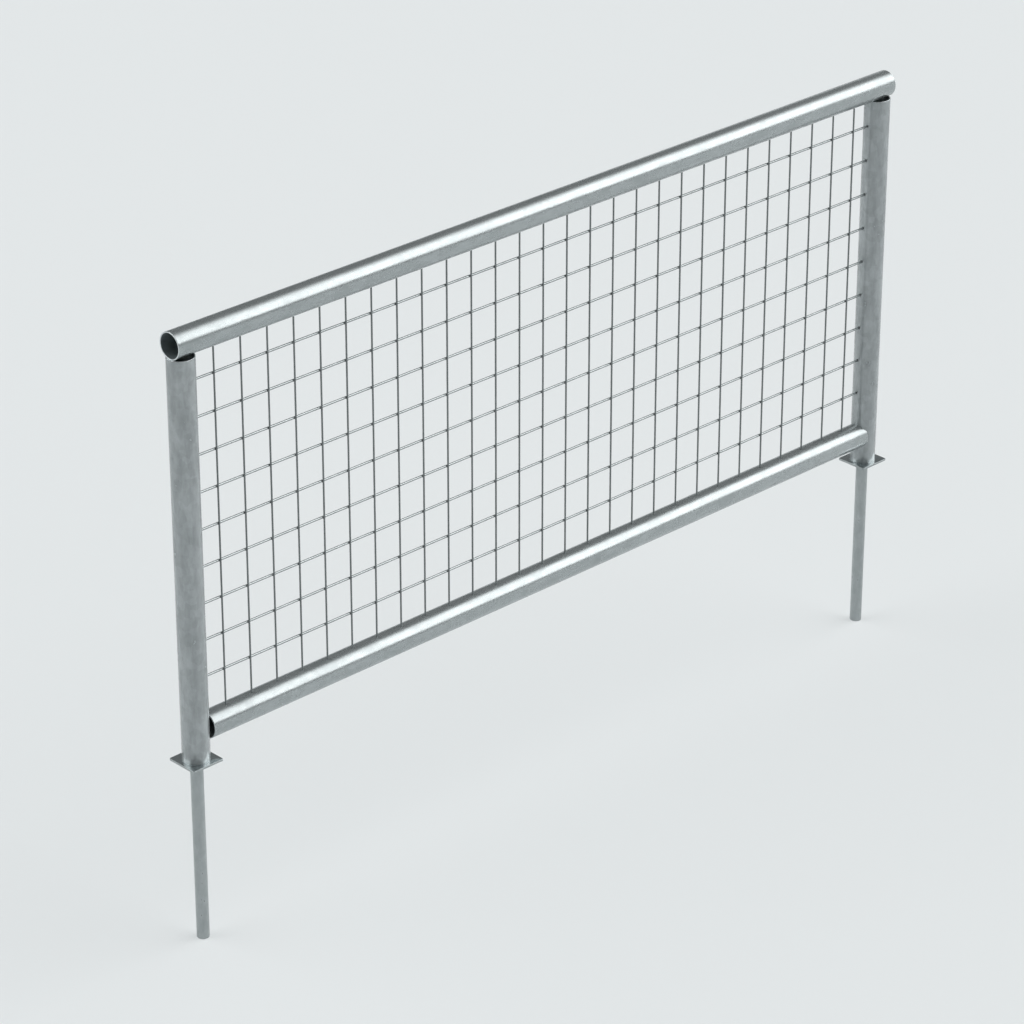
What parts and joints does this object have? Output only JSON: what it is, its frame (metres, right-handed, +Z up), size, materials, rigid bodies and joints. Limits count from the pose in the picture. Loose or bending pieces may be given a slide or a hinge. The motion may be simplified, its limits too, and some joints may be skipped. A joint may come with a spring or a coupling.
{
  "type": "pedestrian barrier",
  "caption": "Galvanised pedestrian barrier: open round tube posts and rails with a welded wire mesh panel, on square ground plates with stakes that go into the ground.",
  "frame": {"origin": "on the left post's axis, at ground level: the underside of the left ground plate", "axes": "+X along the barrier from the left post to the right post, +Y from the upright wires' side to the cross wires' side, +Z up"},
  "size_m": [2.153, 0.08, 1.4121],
  "materials": {
    "galvanised_tube": "hot-dip galvanised steel tube, satin, faintly mottled",
    "galvanised_wire": "galvanised steel wire, duller than the tube",
    "galvanised_plate": "hot-dip galvanised steel plate, satin",
    "galvanised_bar": "hot-dip galvanised round bar, satin"
  },
  "bodies": {
    "root": {"top_rail": "galvanised_tube", "bottom_rail": "galvanised_tube", "left_post": "galvanised_tube", "right_post": "galvanised_tube", "mesh_panel": "galvanised_wire", "left_ground_plate": "galvanised_plate", "right_ground_plate": "galvanised_plate", "left_stake": "galvanised_bar", "right_stake": "galvanised_bar"}
  },
  "joints": []
}
